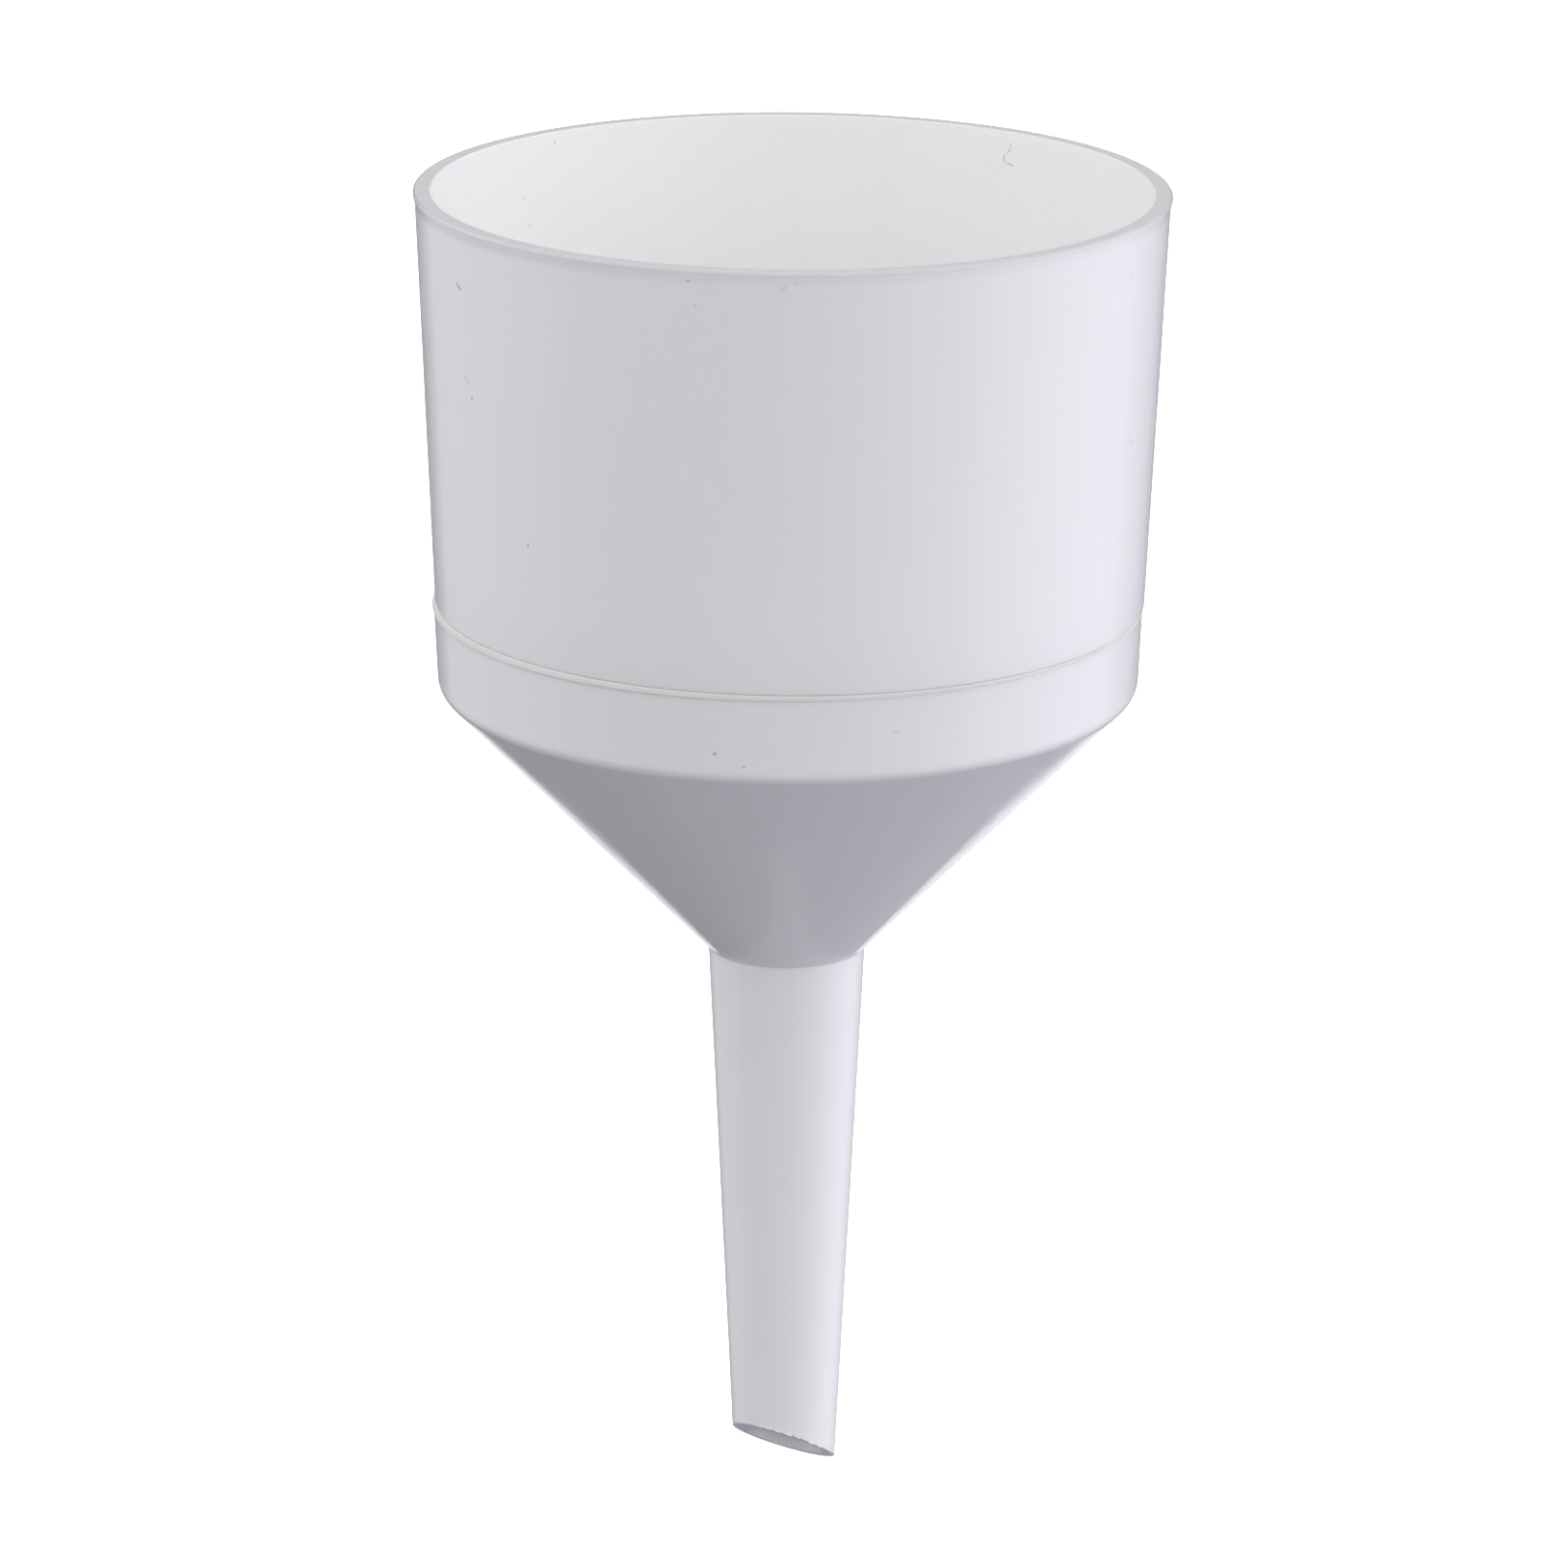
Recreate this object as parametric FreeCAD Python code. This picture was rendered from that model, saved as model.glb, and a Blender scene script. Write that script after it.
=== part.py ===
"""Buchner funnel: a moulded plastic filter funnel that takes 90 mm filter papers.

The filter cup plugs into the collar of the lower funnel, with a thin seal ring between the two,
and a loose perforated plate lies on the ledge at the bottom of the cup.

Millimetres, +Z up along the funnel's axis. The origin is on the axis, at the top of the stem.
The bevelled tip of the stem is lowest towards +Y.
"""
import FreeCAD, Part
import math
import os

# Walls and fits
WALL = 2.1
FIT_GAP = 0.3
EDGE_ROUNDING = 0.3

# Filter cup
RIM_Z = 105.2
RIM_RADIUS = 50.0
RIM_OUTER_ROUNDING = 0.35
RIM_INNER_ROUNDING = 0.2
LIP_WIDTH = 0.3
LIP_HEIGHT = 1.5
LIP_FILLET = 4.0
CUP_BASE_Z = 49.4
CUP_BASE_RADIUS = 47.7
LEDGE_THICKNESS = 2.8
LEDGE_OPENING_RADIUS = 41.5
LEDGE_FILLET = 0.4
SPIGOT_LENGTH = 8.0
SPIGOT_RADIUS = 45.3
SPIGOT_WALL = 2.0
SPIGOT_TAPER = 0.3
SPIGOT_LEAD_IN = 0.6

# Seal ring
SEAL_THICKNESS = 0.65
SEAL_RADIUS = 47.85
SEAL_ROUNDING = 0.2

# Lower funnel
COLLAR_TOP_RADIUS = 47.7
COLLAR_CORNER_RADIUS = 47.25
COLLAR_CORNER_Z = 37.95
COLLAR_CORNER_ROUNDING = 2.4
COLLAR_BORE_TAPER = 0.3
STEM_TOP_RADIUS = 10.7
STEM_TAPER = 0.048
STEM_BORE_TOP_RADIUS = 8.5
STEM_BORE_TAPER = 0.042
STEM_BORE_FILLET = 1.5
TIP_AXIS_Z = -73.7
TIP_BEVEL_DEGREES = 33.2
TIP_BLANK_Z = -85.0

# Perforated plate
PLATE_RADIUS = 45.2
PLATE_THICKNESS = 3.0
PLATE_ROUNDING = 0.4
HOLE_RADIUS = 1.2
HOLE_RING_PITCH = 5.5
HOLE_RINGS = 7
HOLES_PER_RING_STEP = 6
RIB_COUNT = 6
RIB_WIDTH = 1.6
RIB_DEPTH = 2.2
RIM_RIB_WALL = 1.2
BOSS_RADIUS = 3.4

# Heights and radii that follow from the sizes above
LEDGE_TOP_Z = CUP_BASE_Z + LEDGE_THICKNESS
PLATE_TOP_Z = LEDGE_TOP_Z + PLATE_THICKNESS
RIB_FOOT_Z = LEDGE_TOP_Z - RIB_DEPTH
COLLAR_TOP_Z = CUP_BASE_Z - SEAL_THICKNESS
COLLAR_BORE_RADIUS = SPIGOT_RADIUS + FIT_GAP
RIM_RIB_RADIUS = LEDGE_OPENING_RADIUS - FIT_GAP
CONE_SLOPE = (COLLAR_CORNER_RADIUS - STEM_TOP_RADIUS) / COLLAR_CORNER_Z

AXIS_START = FreeCAD.Vector(0, 0, 0)
UP = FreeCAD.Vector(0, 0, 1)


def rounded_corner(before, corner, after, rounding):
    """Start, middle and end of the arc that rounds a corner of an outline."""
    to_before = (before - corner).normalize()
    to_after = (after - corner).normalize()
    half_angle = to_before.getAngle(to_after) / 2
    reach = rounding / math.tan(half_angle)
    depth = rounding / math.sin(half_angle) - rounding
    inward = (to_before + to_after).normalize()
    return corner + to_before * reach, corner + inward * depth, corner + to_after * reach


def turned(outline):
    """Solid of revolution from a closed outline of (radius, height, rounding) corners."""
    points = [FreeCAD.Vector(radius, 0, height) for radius, height, rounding in outline]
    arcs = []
    for index, (radius, height, rounding) in enumerate(outline):
        before = points[index - 1]
        after = points[(index + 1) % len(points)]
        if rounding:
            arcs.append(rounded_corner(before, points[index], after, rounding))
        else:
            arcs.append((points[index], None, points[index]))
    edges = []
    for index, (start, middle, end) in enumerate(arcs):
        if middle:
            edges.append(Part.Arc(start, middle, end).toShape())
        next_start = arcs[(index + 1) % len(arcs)][0]
        edges.append(Part.LineSegment(end, next_start).toShape())
    return Part.Face(Part.Wire(edges)).revolve(AXIS_START, UP, 360)


def cup_bore_radius(height):
    """Radius of the cup's tapered bore at a height."""
    taper = (RIM_RADIUS - CUP_BASE_RADIUS) / (RIM_Z - CUP_BASE_Z)
    return RIM_RADIUS - WALL - taper * (RIM_Z - height)


def filter_cup():
    """Tapered cup with a flared lip, a ledge for the plate and a spigot that plugs into the collar."""
    lip_foot_z = RIM_Z - LIP_HEIGHT
    spigot_foot_z = CUP_BASE_Z - SPIGOT_LENGTH
    spigot_foot_radius = SPIGOT_RADIUS - SPIGOT_TAPER
    return turned([
        (CUP_BASE_RADIUS, CUP_BASE_Z, EDGE_ROUNDING),
        (cup_bore_radius(lip_foot_z) + WALL, lip_foot_z, LIP_FILLET),
        (RIM_RADIUS + LIP_WIDTH, RIM_Z, RIM_OUTER_ROUNDING),
        (RIM_RADIUS - WALL, RIM_Z, RIM_INNER_ROUNDING),
        (cup_bore_radius(LEDGE_TOP_Z), LEDGE_TOP_Z, LEDGE_FILLET),
        (LEDGE_OPENING_RADIUS, LEDGE_TOP_Z, EDGE_ROUNDING),
        (LEDGE_OPENING_RADIUS, CUP_BASE_Z, EDGE_ROUNDING),
        (SPIGOT_RADIUS - SPIGOT_WALL, CUP_BASE_Z, EDGE_ROUNDING),
        (spigot_foot_radius - SPIGOT_WALL, spigot_foot_z, EDGE_ROUNDING),
        (spigot_foot_radius, spigot_foot_z, SPIGOT_LEAD_IN),
        (SPIGOT_RADIUS, CUP_BASE_Z, 0),
    ])


def seal_ring():
    """Thin flat ring, clamped between the cup's shoulder and the collar's lip."""
    return turned([
        (SEAL_RADIUS, COLLAR_TOP_Z, SEAL_ROUNDING),
        (SEAL_RADIUS, CUP_BASE_Z, SEAL_ROUNDING),
        (COLLAR_BORE_RADIUS, CUP_BASE_Z, 0),
        (COLLAR_BORE_RADIUS, COLLAR_TOP_Z, 0),
    ])


def tip_waste():
    """Block that bevels the stem's tip."""
    side = 6 * STEM_TOP_RADIUS
    block = Part.makeBox(side, side, side, FreeCAD.Vector(-side / 2, -side / 2, -side))
    block.rotate(AXIS_START, FreeCAD.Vector(1, 0, 0), -TIP_BEVEL_DEGREES)
    block.translate(FreeCAD.Vector(0, 0, TIP_AXIS_Z))
    return block


def lower_funnel():
    """Collar, cone and hollow tapered stem in one moulding."""
    level_wall = WALL * math.sqrt(1 + CONE_SLOPE ** 2)
    bore_corner_radius = COLLAR_BORE_RADIUS - COLLAR_BORE_TAPER
    bore_corner_z = (bore_corner_radius + level_wall - STEM_TOP_RADIUS) / CONE_SLOPE
    throat_z = (STEM_BORE_TOP_RADIUS + level_wall - STEM_TOP_RADIUS) / CONE_SLOPE
    blank = turned([
        (COLLAR_TOP_RADIUS, COLLAR_TOP_Z, EDGE_ROUNDING),
        (COLLAR_BORE_RADIUS, COLLAR_TOP_Z, EDGE_ROUNDING),
        (bore_corner_radius, bore_corner_z, COLLAR_CORNER_ROUNDING + WALL),
        (STEM_BORE_TOP_RADIUS, throat_z, STEM_BORE_FILLET),
        (STEM_BORE_TOP_RADIUS + STEM_BORE_TAPER * TIP_BLANK_Z, TIP_BLANK_Z, 0),
        (STEM_TOP_RADIUS + STEM_TAPER * TIP_BLANK_Z, TIP_BLANK_Z, 0),
        (STEM_TOP_RADIUS, 0, 0),
        (COLLAR_CORNER_RADIUS, COLLAR_CORNER_Z, COLLAR_CORNER_ROUNDING),
    ])
    return blank.cut(tip_waste())


def plate_ribs():
    """Radial stiffening ribs, the ring rib that centres the plate, and the middle boss."""
    foot = FreeCAD.Vector(0, 0, RIB_FOOT_Z)
    ring = Part.makeCylinder(RIM_RIB_RADIUS, RIB_DEPTH, foot)
    ring = ring.cut(Part.makeCylinder(RIM_RIB_RADIUS - RIM_RIB_WALL, RIB_DEPTH, foot))
    ribs = [ring, Part.makeCylinder(BOSS_RADIUS, RIB_DEPTH, foot)]
    rib_length = RIM_RIB_RADIUS - RIM_RIB_WALL / 2
    for number in range(RIB_COUNT):
        rib = Part.makeBox(rib_length, RIB_WIDTH, RIB_DEPTH, FreeCAD.Vector(0, -RIB_WIDTH / 2, RIB_FOOT_Z))
        rib.rotate(AXIS_START, UP, number * 360 / RIB_COUNT)
        ribs.append(rib)
    return ribs


def plate_holes():
    """Drain holes: one in the middle, and rings that leave the ribs clear."""
    depth = PLATE_THICKNESS + RIB_DEPTH
    holes = [Part.makeCylinder(HOLE_RADIUS, depth, FreeCAD.Vector(0, 0, RIB_FOOT_Z))]
    for ring in range(1, HOLE_RINGS + 1):
        count = HOLES_PER_RING_STEP * ring
        for number in range(count):
            angle = 2 * math.pi * (number + 0.5) / count
            x = ring * HOLE_RING_PITCH * math.cos(angle)
            y = ring * HOLE_RING_PITCH * math.sin(angle)
            holes.append(Part.makeCylinder(HOLE_RADIUS, depth, FreeCAD.Vector(x, y, RIB_FOOT_Z)))
    return holes


def perforated_plate():
    """Loose drilled plate that carries the filter paper."""
    disc = turned([
        (0, LEDGE_TOP_Z, 0),
        (PLATE_RADIUS, LEDGE_TOP_Z, PLATE_ROUNDING),
        (PLATE_RADIUS, PLATE_TOP_Z, PLATE_ROUNDING),
        (0, PLATE_TOP_Z, 0),
    ])
    return disc.fuse(plate_ribs()).removeSplitter().cut(Part.makeCompound(plate_holes()))


def single_solid(shape):
    """The one solid that a shape holds."""
    if len(shape.Solids) != 1:
        raise ValueError("a piece came out as %d solids" % len(shape.Solids))
    return shape.Solids[0]


os.makedirs("parts", exist_ok=True)
PIECES = {
    "filter_cup": filter_cup(),
    "perforated_plate": perforated_plate(),
    "seal_ring": seal_ring(),
    "lower_funnel": lower_funnel(),
}
for name, shape in PIECES.items():
    solid = single_solid(shape)
    solid.exportStep("parts/" + name + ".step")
    print(name, "valid", solid.isValid(), "volume mm3", round(solid.Volume, 1))
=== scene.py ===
import math

import bmesh
import bpy
from mathutils import Matrix, Vector, noise


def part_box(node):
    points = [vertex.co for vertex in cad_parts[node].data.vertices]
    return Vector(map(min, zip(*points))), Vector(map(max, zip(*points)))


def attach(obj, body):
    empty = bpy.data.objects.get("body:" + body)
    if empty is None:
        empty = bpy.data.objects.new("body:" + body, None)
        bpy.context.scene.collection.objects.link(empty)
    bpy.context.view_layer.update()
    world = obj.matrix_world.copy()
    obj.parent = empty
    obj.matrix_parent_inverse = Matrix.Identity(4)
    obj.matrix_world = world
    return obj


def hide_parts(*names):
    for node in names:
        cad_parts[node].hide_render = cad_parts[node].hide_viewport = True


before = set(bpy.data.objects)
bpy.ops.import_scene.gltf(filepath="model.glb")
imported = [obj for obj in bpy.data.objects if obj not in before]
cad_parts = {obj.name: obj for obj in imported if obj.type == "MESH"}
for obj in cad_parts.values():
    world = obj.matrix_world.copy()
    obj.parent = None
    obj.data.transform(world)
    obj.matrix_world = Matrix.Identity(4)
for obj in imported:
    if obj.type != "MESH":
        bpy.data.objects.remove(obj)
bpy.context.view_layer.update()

MM = 0.001

# ---------------------------------------------------------------- sizes, read from the frame
CUP_LOW, CUP_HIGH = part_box("filter_cup")
SEAL_LOW, SEAL_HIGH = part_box("seal_ring")
FUNNEL_LOW, FUNNEL_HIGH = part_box("lower_funnel")

RIM_Z = CUP_HIGH.z
RIM_RADIUS = 50.0 * MM
CUP_BASE_Z = SEAL_HIGH.z
CUP_BASE_RADIUS = 47.7 * MM
COLLAR_TOP_Z = SEAL_LOW.z
SPIGOT_FOOT_Z = CUP_LOW.z
TIP_Z = FUNNEL_LOW.z

# ---------------------------------------------------------------- sizes the frame's boxes don't give
WALL = 2.1 * MM
EDGE_ROUNDING = 0.3 * MM
RIM_OUTER_ROUNDING = 0.35 * MM
RIM_LIP = 0.3 * MM
RIM_LIP_HEIGHT = 1.5 * MM
RIM_LIP_ROUNDING = 4.0 * MM
RIM_RISE = 0.12 * MM
RIM_INNER_ROUNDING = 0.2 * MM
LEDGE_TOP_Z = 52.2 * MM
LEDGE_OPENING_RADIUS = 41.5 * MM
LEDGE_FILLET = 0.4 * MM
SPIGOT_RADIUS = 45.3 * MM
SPIGOT_WALL = 2.0 * MM
SPIGOT_TAPER = 0.3 * MM
SPIGOT_LEAD_IN = 0.6 * MM
SEAL_RADIUS = 47.77 * MM
SEAL_BORE_RADIUS = 45.7 * MM
SEAL_TOP_ROUNDING = 0.15 * MM
SEAL_FOOT_ROUNDING = 0.05 * MM
SEAL_SHIFT = 0.15 * MM
COLLAR_TOP_RADIUS = 47.7 * MM
COLLAR_TOP_ROUNDING = 0.06 * MM
COLLAR_BORE_RADIUS = 45.6 * MM
COLLAR_BORE_TAPER = 0.3 * MM
COLLAR_CORNER_RADIUS = 47.25 * MM
COLLAR_CORNER_Z = 37.95 * MM
COLLAR_CORNER_ROUNDING = 2.4 * MM
STEM_TOP_RADIUS = 10.7 * MM
STEM_TAPER = 0.048
STEM_BORE_TOP_RADIUS = 8.5 * MM
STEM_BORE_TAPER = 0.042
STEM_BORE_FILLET = 1.5 * MM
TIP_AXIS_Z = -73.7 * MM
TIP_BEVEL_DEGREES = 33.2
TIP_ROUNDING = 0.12 * MM
BEVEL_START_Z = -60.0 * MM
FUNNEL_LEAN_DEGREES = 0.2

# ---------------------------------------------------------------- mesh quality
SEGMENTS = 288
ARC_STEPS = 6
RUN_LENGTH = 1.6 * MM
SUPPORT_LENGTH = 0.12 * MM
SHORT_RUN = 4 * SUPPORT_LENGTH
WARP_HEIGHT = 0.03 * MM
WARP_LENGTH = 22.0 * MM
CUP_WARP_SEED = 0
FUNNEL_WARP_SEED = 7

# ---------------------------------------------------------------- camera and studio
# Angles are in degrees. The lens and the sensor are in millimetres.
VIEW_AZIMUTH = 28.8
CAMERA_DISTANCE = 0.875
CAMERA_ELEVATION = 12.234
CAMERA_PITCH = 17.391
CAMERA_YAW = 0.036
CAMERA_ROLL = 0.473
CAMERA_LENS = 151.39
CAMERA_SENSOR = 36.0

# Brightness of the surroundings by height, -1 straight down to 1 straight up, on four sides.
GROUND_EDGE = -0.885
GROUND_LIGHT = 0.2
CEILING_LIGHT = 0.3
FRONT_LIGHT = ((-0.875, 0.15), (-0.6, 0.38), (-0.2, 0.08), (0.05, 0.4), (0.5, 1.37), (0.8, 1.0))
RIGHT_LIGHT = ((-0.875, 0.1), (-0.7, 0.87), (-0.3, 0.87), (-0.05, 0.35), (0.35, 1.9), (0.5, 1.6), (0.8, 0.5))
BACK_LIGHT = ((-0.875, 0.1), (-0.4, 0.2), (0.3, 0.05), (0.5, 1.0), (0.8, 0.6))
LEFT_LIGHT = ((-0.875, 0.05), (-0.4, 0.05), (-0.25, 0.65), (0.1, 0.62), (0.4, 1.5), (0.8, 0.6))
LOW_TINT = (0.99, 0.955, 1.09)
HIGH_TINT = (1.0, 1.0, 1.0)
TINT_FROM = 0.0
TINT_FULL = 0.4

# ---------------------------------------------------------------- wear
# Stains and nicks: azimuth from the view, height, width, thickness, tilt down to the right, strength.
OUTER_STAINS = (
    (-60.0, 97.4 * MM, 1.65 * MM, 0.25 * MM, 33, 0.8),
    (-58.5, 85.2 * MM, 2.2 * MM, 0.2 * MM, 41, 0.3),
    (-57.3, 83.0 * MM, 0.4 * MM, 0.4 * MM, 0, 0.6),
    (-44.3, 65.5 * MM, 0.4 * MM, 0.4 * MM, 0, 0.5),
    (-15.1, 103.8 * MM, 0.5 * MM, 0.4 * MM, 0, 0.35),
    (-14.1, 100.6 * MM, 0.5 * MM, 0.4 * MM, 0, 0.2),
    (-1.3, 103.2 * MM, 1.1 * MM, 0.4 * MM, -55, 0.15),
    (0.5, 104.0 * MM, 0.6 * MM, 0.3 * MM, 0, 0.15),
    (62.0, 98.8 * MM, 0.3 * MM, 1.0 * MM, -20, 0.15),
    (65.7, 76.4 * MM, 0.25 * MM, 1.0 * MM, 0, 0.3),
    (85.0, 68.2 * MM, 0.6 * MM, 1.6 * MM, 0, 0.5),
)
INNER_STAINS = (
    (141.3, 103.5 * MM, 0.7 * MM, 0.18 * MM, 80, 0.4),
    (141.6, 102.7 * MM, 1.1 * MM, 0.18 * MM, 50, 0.5),
    (142.5, 101.8 * MM, 0.9 * MM, 0.18 * MM, 60, 0.5),
    (142.4, 101.2 * MM, 0.9 * MM, 0.18 * MM, -50, 0.5),
    (141.2, 100.8 * MM, 1.4 * MM, 0.18 * MM, -15, 0.5),
    (-129.5, 97.1 * MM, 0.45 * MM, 0.4 * MM, 0, 0.2),
    (-130.5, 93.0 * MM, 0.45 * MM, 0.4 * MM, 0, 0.2),
    (-136.8, 103.9 * MM, 0.5 * MM, 0.4 * MM, 0, 0.25),
)
# Nicks on the cup: shallow dents drawn with bump, with painted white highlights where they glint.
OUTER_NICKS_AND_GLINTS = (
    (72.0, 72.0 * MM, 0.4 * MM, 1.6 * MM, 0, 0.9),
    (79.5, 66.8 * MM, 0.6 * MM, 3.0 * MM, 12, 0.9),
)
COLLAR_STAINS = (
    (-11.5, 41.3 * MM, 0.5 * MM, 0.5 * MM, 0, 0.7),
    (-6.9, 39.7 * MM, 0.4 * MM, 0.4 * MM, 0, 0.6),
    (16.9, 44.1 * MM, 0.7 * MM, 0.3 * MM, 30, 0.25),
)
COLLAR_NICKS = (
    (32.0, 40.0 * MM, 5.0 * MM, 0.3 * MM, 20, 0.5),
)
MARK_DEPTH = 0.9 * MM
MARK_RAGGEDNESS = 0.16 * MM
MARK_RAGGED_SIZE = 0.4 * MM
MARK_CORE = 0.6
MARK_FADE = 1.3
STAIN_COLOUR = (0.2, 0.15, 0.11)
TAN_STAIN_COLOUR = (0.55, 0.42, 0.26)
# White: a painted highlight on the cup's nicks, and the pale scuff on the collar.
SCUFF_AND_GLINT_COLOUR = (1.0, 1.0, 1.0)

# Burr on the tip: how high and how ragged it is, and how far round its side of the edge it reaches.
BURR_HEIGHT = 0.4 * MM
BURR_BASE = 0.4
BURR_FLARE = 1.2
BURR_AZIMUTH = 18.0
BURR_REACH = 0.45
BURR_LENGTH = 0.7 * MM
BURR_FINE_LENGTH = BURR_LENGTH / 3
BURR_ONSET = 2
BURR_BAND_HEIGHT = TIP_ROUNDING / 2
BURR_BAND_WIDTH = 1.5 * TIP_ROUNDING

GRAIN_DEPTH = 0.003 * MM
NICK_RELIEF = 20.0

# ---------------------------------------------------------------- colours and finish
PLASTIC_WHITE = (0.97, 0.97, 0.975)
PLASTIC_SHADE = (0.955, 0.955, 0.96)
# Painted light on the rim: a painted cool tint on its flat top face and a painted shade on its outer
# rounding.
RIM_FLAT_PAINTED_TINT = (0.96, 0.955, 0.99)
RIM_EDGE_PAINTED_SHADE = (0.72, 0.715, 0.735)
RIM_BLEND = 0.1 * MM
RIM_EDGE_DEPTH = 0.6 * MM
# Painted shade on the slanted cut face at the tip: a little darker and warmer than the plastic.
CUT_FACE_PAINTED_SHADE = (0.96, 0.935, 0.945)
CUT_FACE_DEPTH = 0.03 * MM
CUT_FACE_ROUGHNESS = 0.6
PLASTIC_ROUGHNESS = 0.14
PLATE_ROUGHNESS = 0.42
PLASTIC_IOR = 1.49
SINK_SHARE = 0.35
SINK_COLOURS = (1.0, 0.95, 0.9)
SINK_DEPTH = 1.5 * MM
SEAL_CREAM = (0.9, 0.885, 0.85)
SEAL_SHADE = (0.87, 0.85, 0.8)
SEAL_ROUGHNESS = 0.5

# Unevenness drawn with noise: size, detail and stretch along the axes, and the range of noise it uses.
WIDE_NOISE = (0.3, 0.7)
MIDDLE_NOISE = (0.35, 0.65)
UPPER_NOISE = (0.45, 0.75)
SCUFF_SIZE = 3 * MM
SCUFF_DETAIL = 5.0
SCUFF_STRETCH = (1, 1, 4)
SCUFF_ROUGHNESS = 0.08
CLOUD_SIZE = 18 * MM
CLOUD_DETAIL = 4.0
CLOUD_STRETCH = (1, 1, 2.5)
GRAIN_SIZE = 1.2 * MM
GRAIN_DETAIL = 3.0
GRAIN_STRETCH = (1, 1, 2)
PLATE_RUB_SIZE = 12 * MM
PLATE_RUB_ROUGHNESS = 0.06
PLATE_GRAIN_SIZE = 0.5 * MM
SEAL_CLOUD_SIZE = 6 * MM
SEAL_GRAIN_SIZE = 0.3 * MM

# Bright strip far below and behind the funnel, seen in reflections only.
GLOW_WIDTH = 1.8
GLOW_LENGTH = 5.0
GLOW_DISTANCE = 5.2
GLOW_DEPTH = 2.0
GLOW_OFFSET = 0.04
GLOW_BRIGHTNESS = 1.05
GLOW_COLOUR = (0.97, 0.95, 1.0)

# Soft lights: name, azimuth from the view, power and colour.
SOFTBOXES = (
    ("right_softbox", 93, 1.85, (0.88, 0.87, 1.0)),
    ("left_softbox", -112, 1.8, (0.92, 0.96, 1.0)),
)
SOFTBOX_ELEVATION = 5
SOFTBOX_DISTANCE = 0.9
SOFTBOX_SIDE = 1.3

FLOOR_RADIUS = 10.0
FLOOR_SEGMENTS = 96
FLOOR_GAP = 0.1 * MM
FLOOR_COLOUR = (0.95, 0.95, 0.95, 1)
FLOOR_GLOW_COLOUR = (1, 1, 1, 1)
CAMERA_REACH = 4 * FLOOR_RADIUS


# ================================================================ camera
def around(azimuth, elevation):
    """Unit vector from the funnel towards a place at that azimuth, round from the front (-Y)."""
    turn = math.radians(azimuth)
    rise = math.radians(elevation)
    return Vector((math.sin(turn) * math.cos(rise), -math.cos(turn) * math.cos(rise), math.sin(rise)))


def make_camera():
    """Long lens, a little above the rim, looking down along the funnel."""
    data = bpy.data.cameras.new("camera")
    data.sensor_width = CAMERA_SENSOR
    data.lens = CAMERA_LENS
    camera = bpy.data.objects.new("camera", data)
    bpy.context.scene.collection.objects.link(camera)
    back = around(VIEW_AZIMUTH + CAMERA_YAW, CAMERA_PITCH)
    side = Vector((0, 0, 1)).cross(back).normalized()
    up = back.cross(side)
    turn = Matrix((side, up, back)).transposed() @ Matrix.Rotation(math.radians(CAMERA_ROLL), 3, "Z")
    rim_centre = Vector((0, 0, RIM_Z))
    place = rim_centre + around(VIEW_AZIMUTH, CAMERA_ELEVATION) * CAMERA_DISTANCE
    camera.matrix_world = Matrix.Translation(place) @ turn.to_4x4()
    data.clip_end = CAMERA_REACH
    bpy.context.scene.camera = camera


# ================================================================ turned meshes
def rounded_corner(before, corner, after, rounding):
    """Points round one corner of an outline, on an arc tangent to both its sides."""
    to_before = (before - corner).normalized()
    to_after = (after - corner).normalized()
    half_angle = to_before.angle(to_after) / 2
    reach = rounding / math.tan(half_angle)
    centre = corner + (to_before + to_after).normalized() * (rounding / math.sin(half_angle))
    start = corner + to_before * reach - centre
    sweep = (math.pi - 2 * half_angle) * math.copysign(1, to_before.cross(to_after))
    points = []
    for step in range(ARC_STEPS + 1):
        points.append(centre + Matrix.Rotation(-sweep * step / ARC_STEPS, 2) @ start)
    return points


def divided_run(start, end):
    """Points strictly between two ends: close to each end, to hold the shading, and evenly between."""
    run = end - start
    length = run.length
    if length < SHORT_RUN:
        return []
    count = max(1, round(length / RUN_LENGTH))
    shares = [SUPPORT_LENGTH / length]
    shares += [number / count for number in range(1, count)]
    shares.append(1 - SUPPORT_LENGTH / length)
    return [start + run * share for share in shares]


def outline_points(corners):
    """All points of a closed outline of (radius, height, rounding) corners."""
    places = [Vector((radius, height)) for radius, height, rounding in corners]
    arcs = []
    for index, (radius, height, rounding) in enumerate(corners):
        if rounding:
            after = places[(index + 1) % len(places)]
            arcs.append(rounded_corner(places[index - 1], places[index], after, rounding))
        else:
            arcs.append([places[index]])
    points = []
    for index, arc in enumerate(arcs):
        points += arc
        points += divided_run(arc[-1], arcs[(index + 1) % len(arcs)][0])
    return points


def new_piece(name, build, body, slot, material, *nodes):
    """Turns a bmesh into a smooth-shaded piece that rides a body and stands for CAD nodes."""
    bmesh.ops.recalc_face_normals(build, faces=build.faces)
    mesh = bpy.data.meshes.new(name)
    build.to_mesh(mesh)
    build.free()
    mesh.shade_smooth()
    mesh.materials.append(material)
    piece = bpy.data.objects.new(name, mesh)
    bpy.context.scene.collection.objects.link(piece)
    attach(piece, body)
    if nodes:
        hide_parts(*nodes)
    return piece


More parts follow.
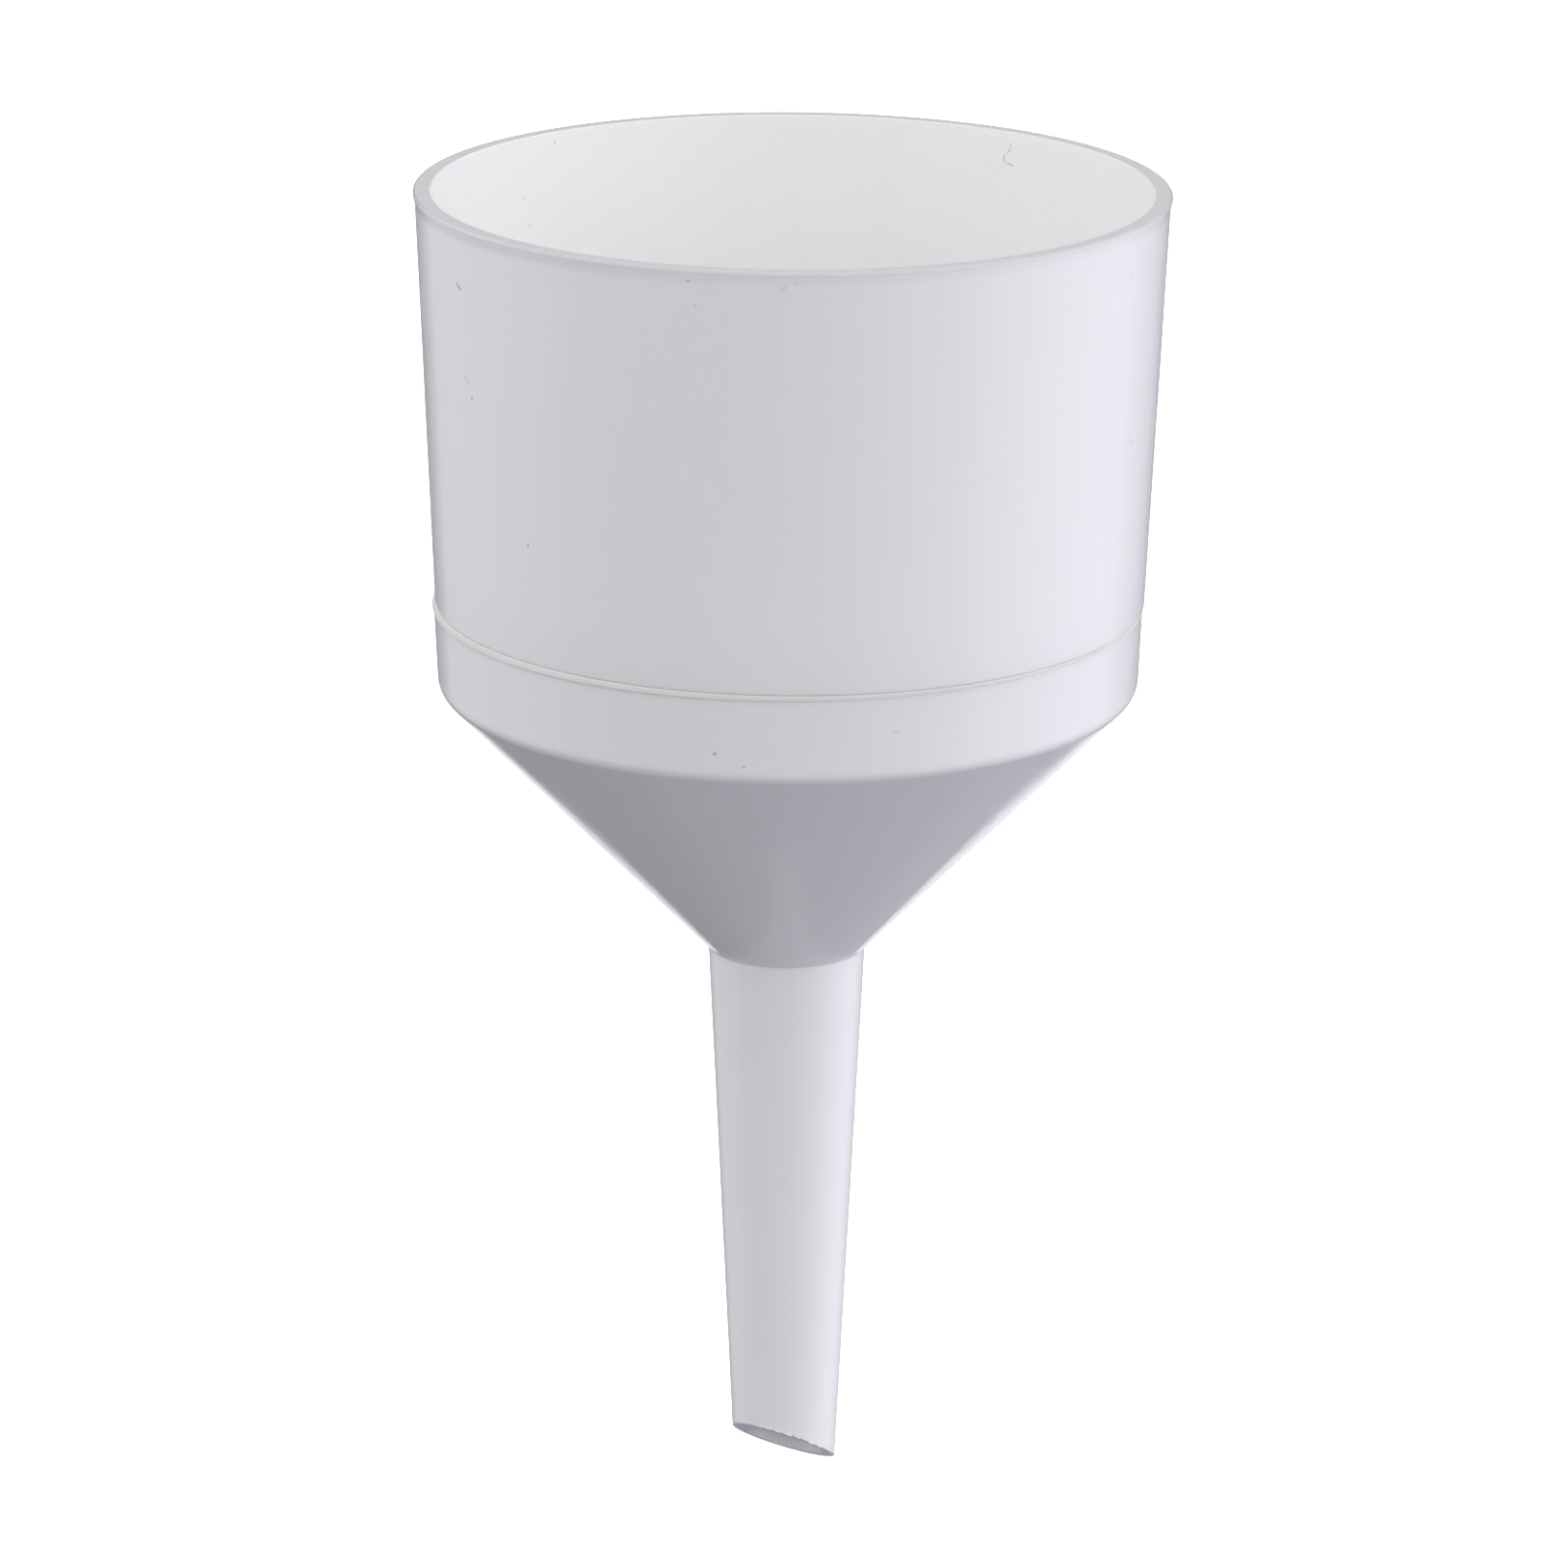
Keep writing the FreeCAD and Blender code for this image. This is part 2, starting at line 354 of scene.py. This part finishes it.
def turned(corners):
    """Closed solid of revolution, as a bmesh."""
    build = bmesh.new()
    outline = outline_points(corners)
    columns = []
    for segment in range(SEGMENTS):
        angle = 2 * math.pi * segment / SEGMENTS
        across = Vector((math.cos(angle), math.sin(angle), 0))
        places = [across * radius + Vector((0, 0, height)) for radius, height in outline]
        columns.append([build.verts.new(place) for place in places])
    for segment, column in enumerate(columns):
        next_column = columns[(segment + 1) % SEGMENTS]
        for index in range(len(outline)):
            following = (index + 1) % len(outline)
            build.faces.new((column[index], next_column[index], next_column[following], column[following]))
    return build


def warp(build, seed):
    """Moves the skin in and out a few hundredths of a millimetre, as moulded plastic shrinks."""
    for vert in build.verts:
        across = Vector((vert.co.x, vert.co.y, 0))
        height = noise.noise(vert.co / WARP_LENGTH + Vector((seed, 0, 0)))
        vert.co += across.normalized() * height * WARP_HEIGHT


# ================================================================ pieces
def cup_bore_radius(height):
    """Radius of the cup's tapered bore at a height."""
    taper = (RIM_RADIUS - CUP_BASE_RADIUS) / (RIM_Z - CUP_BASE_Z)
    return RIM_RADIUS - WALL - taper * (RIM_Z - height)


def make_cup(material):
    """Cup wall with its flat, slightly flared rim, the plate's ledge and the spigot."""
    foot_radius = SPIGOT_RADIUS - SPIGOT_TAPER
    lip_foot_z = RIM_Z - RIM_LIP_HEIGHT
    build = turned([
        (CUP_BASE_RADIUS, CUP_BASE_Z, EDGE_ROUNDING),
        (cup_bore_radius(lip_foot_z) + WALL, lip_foot_z, RIM_LIP_ROUNDING),
        (RIM_RADIUS + RIM_LIP, RIM_Z + RIM_RISE, RIM_OUTER_ROUNDING),
        (RIM_RADIUS - WALL, RIM_Z + RIM_RISE, RIM_INNER_ROUNDING),
        (cup_bore_radius(LEDGE_TOP_Z), LEDGE_TOP_Z, LEDGE_FILLET),
        (LEDGE_OPENING_RADIUS, LEDGE_TOP_Z, EDGE_ROUNDING),
        (LEDGE_OPENING_RADIUS, CUP_BASE_Z, EDGE_ROUNDING),
        (SPIGOT_RADIUS - SPIGOT_WALL, CUP_BASE_Z, EDGE_ROUNDING),
        (foot_radius - SPIGOT_WALL, SPIGOT_FOOT_Z, EDGE_ROUNDING),
        (foot_radius, SPIGOT_FOOT_Z, SPIGOT_LEAD_IN),
        (SPIGOT_RADIUS, CUP_BASE_Z, 0),
    ])
    warp(build, CUP_WARP_SEED)
    return new_piece("cup_shell", build, "cup", "cup_plastic", material, "filter_cup")


def lean():
    """The lower funnel hangs a fraction of a degree out of line with the cup, pivoting at the stem's top."""
    return Matrix.Rotation(math.radians(FUNNEL_LEAN_DEGREES), 3, around(VIEW_AZIMUTH, 0))


def make_seal(material):
    """Thin ring, squeezed off centre, that fills the wedge between the level cup and the leaning collar."""
    build = turned([
        (SEAL_RADIUS, COLLAR_TOP_Z, SEAL_FOOT_ROUNDING),
        (SEAL_RADIUS, CUP_BASE_Z, SEAL_TOP_ROUNDING),
        (SEAL_BORE_RADIUS, CUP_BASE_Z, 0),
        (SEAL_BORE_RADIUS, COLLAR_TOP_Z, 0),
    ])
    middle_z = (COLLAR_TOP_Z + CUP_BASE_Z) / 2
    lower = [vert for vert in build.verts if vert.co.z < middle_z]
    bmesh.ops.transform(build, verts=lower, matrix=lean().to_4x4())
    shift = around(VIEW_AZIMUTH - 90, 0) * SEAL_SHIFT
    bmesh.ops.translate(build, verts=build.verts, vec=shift)
    return new_piece("seal_band", build, "seal", "seal_rubber", material, "seal_ring")


def bevel_tip(build, blank_z):
    """Stretches the stem's flat lower end onto the slanted plane of the bevel."""
    slope = math.tan(math.radians(TIP_BEVEL_DEGREES))
    for vert in build.verts:
        if vert.co.z > BEVEL_START_Z:
            continue
        radius = math.hypot(vert.co.x, vert.co.y)
        sine = vert.co.y / radius
        outer = STEM_TOP_RADIUS + STEM_TAPER * vert.co.z
        bore = STEM_BORE_TOP_RADIUS + STEM_BORE_TAPER * vert.co.z
        taper = STEM_TAPER if radius > (outer + bore) / 2 else STEM_BORE_TAPER
        cut_z = (TIP_AXIS_Z - slope * sine * (radius - taper * vert.co.z)) / (1 + slope * sine * taper)
        share = (vert.co.z - BEVEL_START_Z) / (blank_z - BEVEL_START_Z)
        new_z = BEVEL_START_Z + share * (cut_z - BEVEL_START_Z)
        new_radius = radius + taper * (new_z - vert.co.z)
        vert.co = Vector((vert.co.x * new_radius / radius, vert.co.y * new_radius / radius, new_z))


def raise_burr(build, blank_z):
    """Ragged burr on the outer edge, where the blade came out of the stem, before the end is slanted."""
    outer = STEM_TOP_RADIUS + STEM_TAPER * blank_z
    exit_side = around(VIEW_AZIMUTH + BURR_AZIMUTH, 0)
    for vert in build.verts:
        radius = math.hypot(vert.co.x, vert.co.y)
        if vert.co.z > blank_z + BURR_BAND_HEIGHT or radius < outer - BURR_BAND_WIDTH:
            continue
        near_exit = max(0, vert.co.dot(exit_side) / radius - BURR_REACH) / (1 - BURR_REACH)
        ragged = noise.noise(vert.co / BURR_LENGTH) + noise.noise(vert.co / BURR_FINE_LENGTH)
        height = max(0, BURR_BASE + ragged) * min(1, BURR_ONSET * near_exit) * BURR_HEIGHT
        vert.co += Vector((vert.co.x, vert.co.y, 0)) / radius * height * BURR_FLARE
        vert.co.z -= height


def make_funnel(material):
    """Collar, cone and hollow stem in one moulding, with the bevelled tip."""
    cone_slope = (COLLAR_CORNER_RADIUS - STEM_TOP_RADIUS) / COLLAR_CORNER_Z
    level_wall = WALL * math.sqrt(1 + cone_slope ** 2)
    bore_corner_radius = COLLAR_BORE_RADIUS - COLLAR_BORE_TAPER
    bore_corner_z = (bore_corner_radius + level_wall - STEM_TOP_RADIUS) / cone_slope
    throat_z = (STEM_BORE_TOP_RADIUS + level_wall - STEM_TOP_RADIUS) / cone_slope
    blank_z = TIP_AXIS_Z
    build = turned([
        (COLLAR_TOP_RADIUS, COLLAR_TOP_Z, COLLAR_TOP_ROUNDING),
        (COLLAR_BORE_RADIUS, COLLAR_TOP_Z, COLLAR_TOP_ROUNDING),
        (bore_corner_radius, bore_corner_z, COLLAR_CORNER_ROUNDING + WALL),
        (STEM_BORE_TOP_RADIUS, throat_z, STEM_BORE_FILLET),
        (STEM_BORE_TOP_RADIUS + STEM_BORE_TAPER * blank_z, blank_z, TIP_ROUNDING),
        (STEM_TOP_RADIUS + STEM_TAPER * blank_z, blank_z, TIP_ROUNDING),
        (STEM_TOP_RADIUS, 0, 0),
        (COLLAR_CORNER_RADIUS, COLLAR_CORNER_Z, COLLAR_CORNER_ROUNDING),
    ])
    raise_burr(build, blank_z)
    bevel_tip(build, blank_z)
    warp(build, FUNNEL_WARP_SEED)
    bmesh.ops.transform(build, verts=build.verts, matrix=lean().to_4x4())
    return new_piece("funnel_shell", build, "funnel_base", "funnel_plastic", material, "lower_funnel")


def finish_plate(material):
    """Gives the plate, whose shape comes straight from the frame, its own material."""
    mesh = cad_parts["perforated_plate"].data
    mesh.materials.clear()
    mesh.materials.append(material)


# ================================================================ materials
def new_material(name):
    """Empty node material: its tree, its Principled shader and an object-space coordinate."""
    material = bpy.data.materials.new(name)
    material.use_nodes = True
    tree = material.node_tree
    shader = tree.nodes["Principled BSDF"]
    place = tree.nodes.new("ShaderNodeTexCoord").outputs["Object"]
    return material, tree, shader, place


def add_noise(tree, place, size, detail=3.0, stretch=(1, 1, 1)):
    """Noise with features of about that size in metres, stretched along the axes."""
    mapping = tree.nodes.new("ShaderNodeMapping")
    mapping.inputs["Scale"].default_value = [1 / (size * factor) for factor in stretch]
    tree.links.new(place, mapping.inputs["Vector"])
    texture = tree.nodes.new("ShaderNodeTexNoise")
    texture.inputs["Scale"].default_value = 1.0
    texture.inputs["Detail"].default_value = detail
    tree.links.new(mapping.outputs["Vector"], texture.inputs["Vector"])
    return texture.outputs["Fac"]


def add_range(tree, value, low, high, to_low, to_high):
    """Maps a value from one range to another, clamped."""
    node = tree.nodes.new("ShaderNodeMapRange")
    for socket, number in zip(("From Min", "From Max", "To Min", "To Max"), (low, high, to_low, to_high)):
        node.inputs[socket].default_value = number
    tree.links.new(value, node.inputs["Value"])
    return node.outputs["Result"]


def add_math(tree, operation, first, second):
    """Maths on a node's output and either a number or another node's output."""
    node = tree.nodes.new("ShaderNodeMath")
    node.operation = operation
    tree.links.new(first, node.inputs[0])
    if isinstance(second, bpy.types.NodeSocket):
        tree.links.new(second, node.inputs[1])
    else:
        node.inputs[1].default_value = second
    return node.outputs["Value"]


def add_vector(tree, operation, first, second):
    """Vector maths between a node's output and a fixed vector."""
    node = tree.nodes.new("ShaderNodeVectorMath")
    node.operation = operation
    tree.links.new(first, node.inputs[0])
    node.inputs[1].default_value = second
    return node


def add_mix(tree, share, first, second):
    """Colour between two others. Each is a colour or another node's output."""
    node = tree.nodes.new("ShaderNodeMix")
    node.data_type = "RGBA"
    tree.links.new(share, node.inputs["Factor"])
    for socket, colour in (("A", first), ("B", second)):
        inputs = [item for item in node.inputs if item.name == socket and item.type == "RGBA"]
        if isinstance(colour, bpy.types.NodeSocket):
            tree.links.new(colour, inputs[0])
        else:
            inputs[0].default_value = (*colour, 1)
    return [item for item in node.outputs if item.type == "RGBA"][0]


def add_bump(tree, shader, height, depth):
    """Raises the skin by up to a depth, following a value from 0 to 1."""
    bump = tree.nodes.new("ShaderNodeBump")
    bump.inputs["Distance"].default_value = depth
    tree.links.new(height, bump.inputs["Height"])
    tree.links.new(bump.outputs["Normal"], shader.inputs["Normal"])


def add_ragged_place(tree, place):
    """Coordinates shaken a little, so that marks drawn with them get ragged edges."""
    shake = tree.nodes.new("ShaderNodeTexNoise")
    shake.inputs["Scale"].default_value = 1 / MARK_RAGGED_SIZE
    tree.links.new(place, shake.inputs["Vector"])
    centred = add_vector(tree, "SUBTRACT", shake.outputs["Color"], (0.5, 0.5, 0.5)).outputs["Vector"]
    shift = add_vector(tree, "MULTIPLY", centred, [MARK_RAGGEDNESS] * 3).outputs["Vector"]
    total = add_vector(tree, "ADD", shift, (0, 0, 0))
    tree.links.new(place, total.inputs[1])
    return total.outputs["Vector"]


def add_marks(tree, place, marks, skin_radius):
    """Strength of a set of small elliptical marks on a turned skin, whose radius follows the height."""
    strength = None
    for azimuth, height, width, thickness, tilt, darkness in marks:
        turn = math.radians(VIEW_AZIMUTH + azimuth)
        mapping = tree.nodes.new("ShaderNodeMapping")
        mapping.vector_type = "TEXTURE"
        centre = around(VIEW_AZIMUTH + azimuth, 0) * skin_radius(height)
        mapping.inputs["Location"].default_value = (centre.x, centre.y, height)
        mapping.inputs["Rotation"].default_value = (0, math.radians(tilt), turn)
        mapping.inputs["Scale"].default_value = (width / 2, MARK_DEPTH, thickness / 2)
        tree.links.new(place, mapping.inputs["Vector"])
        reach = add_vector(tree, "LENGTH", mapping.outputs["Vector"], (0, 0, 0)).outputs["Value"]
        mark = add_range(tree, reach, MARK_CORE, MARK_FADE, darkness, 0)
        strength = add_math(tree, "MAXIMUM", mark, strength) if strength else mark
    return strength


def add_rim_painted_shade(tree, place, colour):
    """Painted light on the rim: its flat top face is painted a little bluer than the wall, a painted cool
    tint, and its outer edge is painted darker, a painted shade on the rounding.
    """
    parts = tree.nodes.new("ShaderNodeSeparateXYZ")
    tree.links.new(place, parts.inputs["Vector"])
    level = add_vector(tree, "MULTIPLY", place, (1, 1, 0)).outputs["Vector"]
    radius = add_vector(tree, "LENGTH", level, (0, 0, 0)).outputs["Value"]
    inner_edge = RIM_RADIUS - WALL + RIM_INNER_ROUNDING
    outer_edge = RIM_RADIUS + RIM_LIP - RIM_OUTER_ROUNDING
    flat = add_range(tree, radius, inner_edge, inner_edge + RIM_BLEND, 0, 1)
    edge = add_range(tree, radius, outer_edge - RIM_BLEND, outer_edge, 0, 1)
    top = add_range(tree, parts.outputs["Z"], RIM_Z - RIM_EDGE_DEPTH, RIM_Z, 0, 1)
    # Painted cool tint on the rim's flat top face, then painted shade on its outer edge.
    colour = add_mix(tree, add_math(tree, "MULTIPLY", flat, top), colour, RIM_FLAT_PAINTED_TINT)
    return add_mix(tree, add_math(tree, "MULTIPLY", edge, top), colour, RIM_EDGE_PAINTED_SHADE)


def cut_face_share(tree, place):
    """1 on the slanted face where the tip was cut off, 0 elsewhere."""
    bevel = math.radians(TIP_BEVEL_DEGREES)
    facing = lean() @ Vector((0, -math.sin(bevel), -math.cos(bevel)))
    offset = (lean() @ Vector((0, 0, TIP_AXIS_Z))).dot(facing)
    distance = add_vector(tree, "DOT_PRODUCT", place, facing).outputs["Value"]
    gap = add_math(tree, "ABSOLUTE", add_math(tree, "SUBTRACT", distance, offset), 0)
    return add_range(tree, gap, CUT_FACE_DEPTH, 2 * CUT_FACE_DEPTH, 1, 0)


def finish_plastic(tree, shader, place, cut=None):
    """Smooth gloss with faint scuffs along the mould, rough where cut, and light that sinks in a little."""
    scuffs = add_noise(tree, place, SCUFF_SIZE, SCUFF_DETAIL, SCUFF_STRETCH)
    scuffed = PLASTIC_ROUGHNESS + SCUFF_ROUGHNESS
    roughness = add_range(tree, scuffs, *UPPER_NOISE, PLASTIC_ROUGHNESS, scuffed)
    if cut:
        roughness = add_math(tree, "MAXIMUM", add_math(tree, "MULTIPLY", cut, CUT_FACE_ROUGHNESS), roughness)
    tree.links.new(roughness, shader.inputs["Roughness"])
    shader.inputs["IOR"].default_value = PLASTIC_IOR
    shader.inputs["Subsurface Weight"].default_value = SINK_SHARE
    shader.inputs["Subsurface Radius"].default_value = SINK_COLOURS
    shader.inputs["Subsurface Scale"].default_value = SINK_DEPTH


def add_cloudy_white(tree, place):
    """Natural white polypropylene, whose pigment is very slightly cloudy."""
    clouds = add_noise(tree, place, CLOUD_SIZE, CLOUD_DETAIL, CLOUD_STRETCH)
    return add_mix(tree, add_range(tree, clouds, *MIDDLE_NOISE, 0, 1), PLASTIC_WHITE, PLASTIC_SHADE)


def mould_grain(tree, place):
    """Fine, shallow unevenness left by the mould."""
    grain = add_noise(tree, place, GRAIN_SIZE, GRAIN_DETAIL, GRAIN_STRETCH)
    return add_range(tree, grain, *WIDE_NOISE, 0, 1)


def cup_outer_radius(height):
    """Radius of the cup's tapered outside at a height."""
    return cup_bore_radius(height) + WALL


def collar_radius(height):
    """Radius of the collar's outside, which is nearly straight."""
    share = (height - COLLAR_CORNER_Z) / (COLLAR_TOP_Z - COLLAR_CORNER_Z)
    return COLLAR_CORNER_RADIUS + share * (COLLAR_TOP_RADIUS - COLLAR_CORNER_RADIUS)


def cup_material():
    """The cup's plastic, with its rim's painted cool tint and painted edge shade, stains, a lint mark inside
    and two nicks: shallow bump dents with painted white highlights.
    """
    material, tree, shader, place = new_material("cup_plastic")
    # The rim gets a painted cool tint on its top face and painted shade on its outer edge.
    colour = add_rim_painted_shade(tree, place, add_cloudy_white(tree, place))
    ragged = add_ragged_place(tree, place)
    outer = add_marks(tree, ragged, OUTER_STAINS, cup_outer_radius)
    inner = add_marks(tree, ragged, INNER_STAINS, cup_bore_radius)
    nicks = add_marks(tree, ragged, OUTER_NICKS_AND_GLINTS, cup_outer_radius)
    colour = add_mix(tree, add_math(tree, "MAXIMUM", outer, inner), colour, STAIN_COLOUR)
    # Painted highlight: the cup's nicks are mixed to white.
    tree.links.new(add_mix(tree, nicks, colour, SCUFF_AND_GLINT_COLOUR), shader.inputs["Base Color"])
    finish_plastic(tree, shader, place)
    dents = add_math(tree, "MULTIPLY", nicks, NICK_RELIEF)
    relief = add_math(tree, "SUBTRACT", mould_grain(tree, place), dents)
    add_bump(tree, shader, relief, GRAIN_DEPTH)
    return material


def funnel_material():
    """The lower funnel's plastic, with tan specks and a scuff on the collar, and the rough cut tip, whose
    slanted face gets painted shade.
    """
    material, tree, shader, place = new_material("funnel_plastic")
    ragged = add_ragged_place(tree, place)
    stains = add_marks(tree, ragged, COLLAR_STAINS, collar_radius)
    nicks = add_marks(tree, ragged, COLLAR_NICKS, collar_radius)
    colour = add_mix(tree, stains, add_cloudy_white(tree, place), TAN_STAIN_COLOUR)
    colour = add_mix(tree, nicks, colour, SCUFF_AND_GLINT_COLOUR)
    cut = cut_face_share(tree, place)
    # Painted shade on the slanted cut face.
    tree.links.new(add_mix(tree, cut, colour, CUT_FACE_PAINTED_SHADE), shader.inputs["Base Color"])
    finish_plastic(tree, shader, place, cut)
    add_bump(tree, shader, mould_grain(tree, place), GRAIN_DEPTH)
    return material


def plate_material():
    """The same plastic, evenly matt where filter papers rub it, with a fine grain."""
    material, tree, shader, place = new_material("plate_plastic")
    tree.links.new(add_cloudy_white(tree, place), shader.inputs["Base Color"])
    rubbed = PLATE_ROUGHNESS + PLATE_RUB_ROUGHNESS
    rubbing = add_noise(tree, place, PLATE_RUB_SIZE)
    roughness = add_range(tree, rubbing, *WIDE_NOISE, PLATE_ROUGHNESS, rubbed)
    tree.links.new(roughness, shader.inputs["Roughness"])
    add_bump(tree, shader, add_noise(tree, place, PLATE_GRAIN_SIZE), GRAIN_DEPTH)
    return material


def seal_material():
    """Cream silicone: matt, finely grained, slightly uneven in colour."""
    material, tree, shader, place = new_material("seal_rubber")
    clouds = add_range(tree, add_noise(tree, place, SEAL_CLOUD_SIZE), *MIDDLE_NOISE, 0, 1)
    tree.links.new(add_mix(tree, clouds, SEAL_CREAM, SEAL_SHADE), shader.inputs["Base Color"])
    shader.inputs["Roughness"].default_value = SEAL_ROUGHNESS
    add_bump(tree, shader, add_noise(tree, place, SEAL_GRAIN_SIZE), GRAIN_DEPTH)
    return material


# ================================================================ studio
def make_floor():
    """Plain white floor, seen by the camera only, so that the funnel's underside stays in shade."""
    build = bmesh.new()
    bmesh.ops.create_circle(build, cap_ends=True, radius=FLOOR_RADIUS, segments=FLOOR_SEGMENTS)
    mesh = bpy.data.meshes.new("floor")
    build.to_mesh(mesh)
    build.free()
    floor = bpy.data.objects.new("floor", mesh)
    floor.location.z = TIP_Z - FLOOR_GAP
    bpy.context.scene.collection.objects.link(floor)
    floor.visible_diffuse = False
    floor.visible_glossy = False
    floor.visible_transmission = False
    floor.visible_shadow = False
    material, _, shader, _ = new_material("floor_paper")
    shader.inputs["Base Color"].default_value = FLOOR_COLOUR
    shader.inputs["Roughness"].default_value = 1.0
    shader.inputs["Emission Color"].default_value = FLOOR_GLOW_COLOUR
    shader.inputs["Emission Strength"].default_value = 1.0
    mesh.materials.append(material)


def add_ramp(tree, value, stops):
    """Grey that follows a value from -1 to 1 through (place, brightness) stops."""
    node = tree.nodes.new("ShaderNodeValToRGB")
    elements = node.color_ramp.elements
    for index, (place, brightness) in enumerate(stops):
        element = elements[index] if index < 2 else elements.new(1)
        element.position = (place + 1) / 2
        element.color = (brightness, brightness, brightness, 1)
    tree.links.new(add_range(tree, value, -1, 1, 0, 1), node.inputs["Fac"])
    return node.outputs["Color"]


def make_world():
    """Studio surroundings: each side has its own brightness by height, and they blend round the corners."""
    world = bpy.data.worlds.new("studio")
    bpy.context.scene.world = world
    world.use_nodes = True
    tree = world.node_tree
    direction = tree.nodes.new("ShaderNodeTexCoord").outputs["Generated"]
    parts = tree.nodes.new("ShaderNodeSeparateXYZ")
    tree.links.new(direction, parts.inputs["Vector"])
    height = parts.outputs["Z"]
    level = add_vector(tree, "MULTIPLY", direction, (1, 1, 0)).outputs["Vector"]
    heading = add_vector(tree, "NORMALIZE", level, (0, 0, 0)).outputs["Vector"]
    total = None
    for azimuth, stops in ((0, FRONT_LIGHT), (90, RIGHT_LIGHT), (180, BACK_LIGHT), (270, LEFT_LIGHT)):
        side = add_vector(tree, "DOT_PRODUCT", heading, around(VIEW_AZIMUTH + azimuth, 0)).outputs["Value"]
        share = add_math(tree, "POWER", add_math(tree, "MAXIMUM", side, 0), 2)
        stops = ((-1, GROUND_LIGHT), (GROUND_EDGE, GROUND_LIGHT), *stops, (1, CEILING_LIGHT))
        light = add_math(tree, "MULTIPLY", share, add_ramp(tree, height, stops))
        total = add_math(tree, "ADD", light, total) if total else light
    background = tree.nodes["Background"]
    tint_share = add_range(tree, height, TINT_FROM, TINT_FULL, 0, 1)
    tree.links.new(add_mix(tree, tint_share, LOW_TINT, HIGH_TINT), background.inputs["Color"])
    tree.links.new(total, background.inputs["Strength"])


def make_softbox(name, azimuth, power, colour):
    """Large soft light at that side of the funnel, facing its middle."""
    data = bpy.data.lights.new(name, "AREA")
    data.shape = "RECTANGLE"
    data.size = SOFTBOX_SIDE
    data.size_y = SOFTBOX_SIDE
    data.energy = power
    data.color = colour
    light = bpy.data.objects.new(name, data)
    middle = Vector((0, 0, (RIM_Z + TIP_Z) / 2))
    towards = around(VIEW_AZIMUTH + azimuth, SOFTBOX_ELEVATION)
    light.location = middle + towards * SOFTBOX_DISTANCE
    light.rotation_euler = towards.to_track_quat("Z", "Y").to_euler()
    light.visible_camera = False
    bpy.context.scene.collection.objects.link(light)


def make_table_glow():
    """Long bright strip far below and behind, which shows only where the funnel's edges mirror it."""
    data = bpy.data.lights.new("table_glow", "AREA")
    data.shape = "RECTANGLE"
    data.size = GLOW_WIDTH
    data.size_y = GLOW_LENGTH
    data.energy = math.pi * GLOW_WIDTH * GLOW_LENGTH * GLOW_BRIGHTNESS
    data.color = GLOW_COLOUR
    light = bpy.data.objects.new("table_glow", data)
    aside = around(VIEW_AZIMUTH + 90, 0) * GLOW_OFFSET
    light.location = around(VIEW_AZIMUTH + 180, 0) * GLOW_DISTANCE + aside + Vector((0, 0, -GLOW_DEPTH))
    light.rotation_euler = (math.pi, 0, math.radians(VIEW_AZIMUTH))
    light.visible_camera = False
    light.visible_diffuse = False
    bpy.context.scene.collection.objects.link(light)


# ================================================================ the scene
make_camera()
make_cup(cup_material())
make_funnel(funnel_material())
make_seal(seal_material())
finish_plate(plate_material())

make_floor()
make_world()
for softbox in SOFTBOXES:
    make_softbox(*softbox)
make_table_glow()

bpy.context.scene.view_settings.view_transform = "Standard"
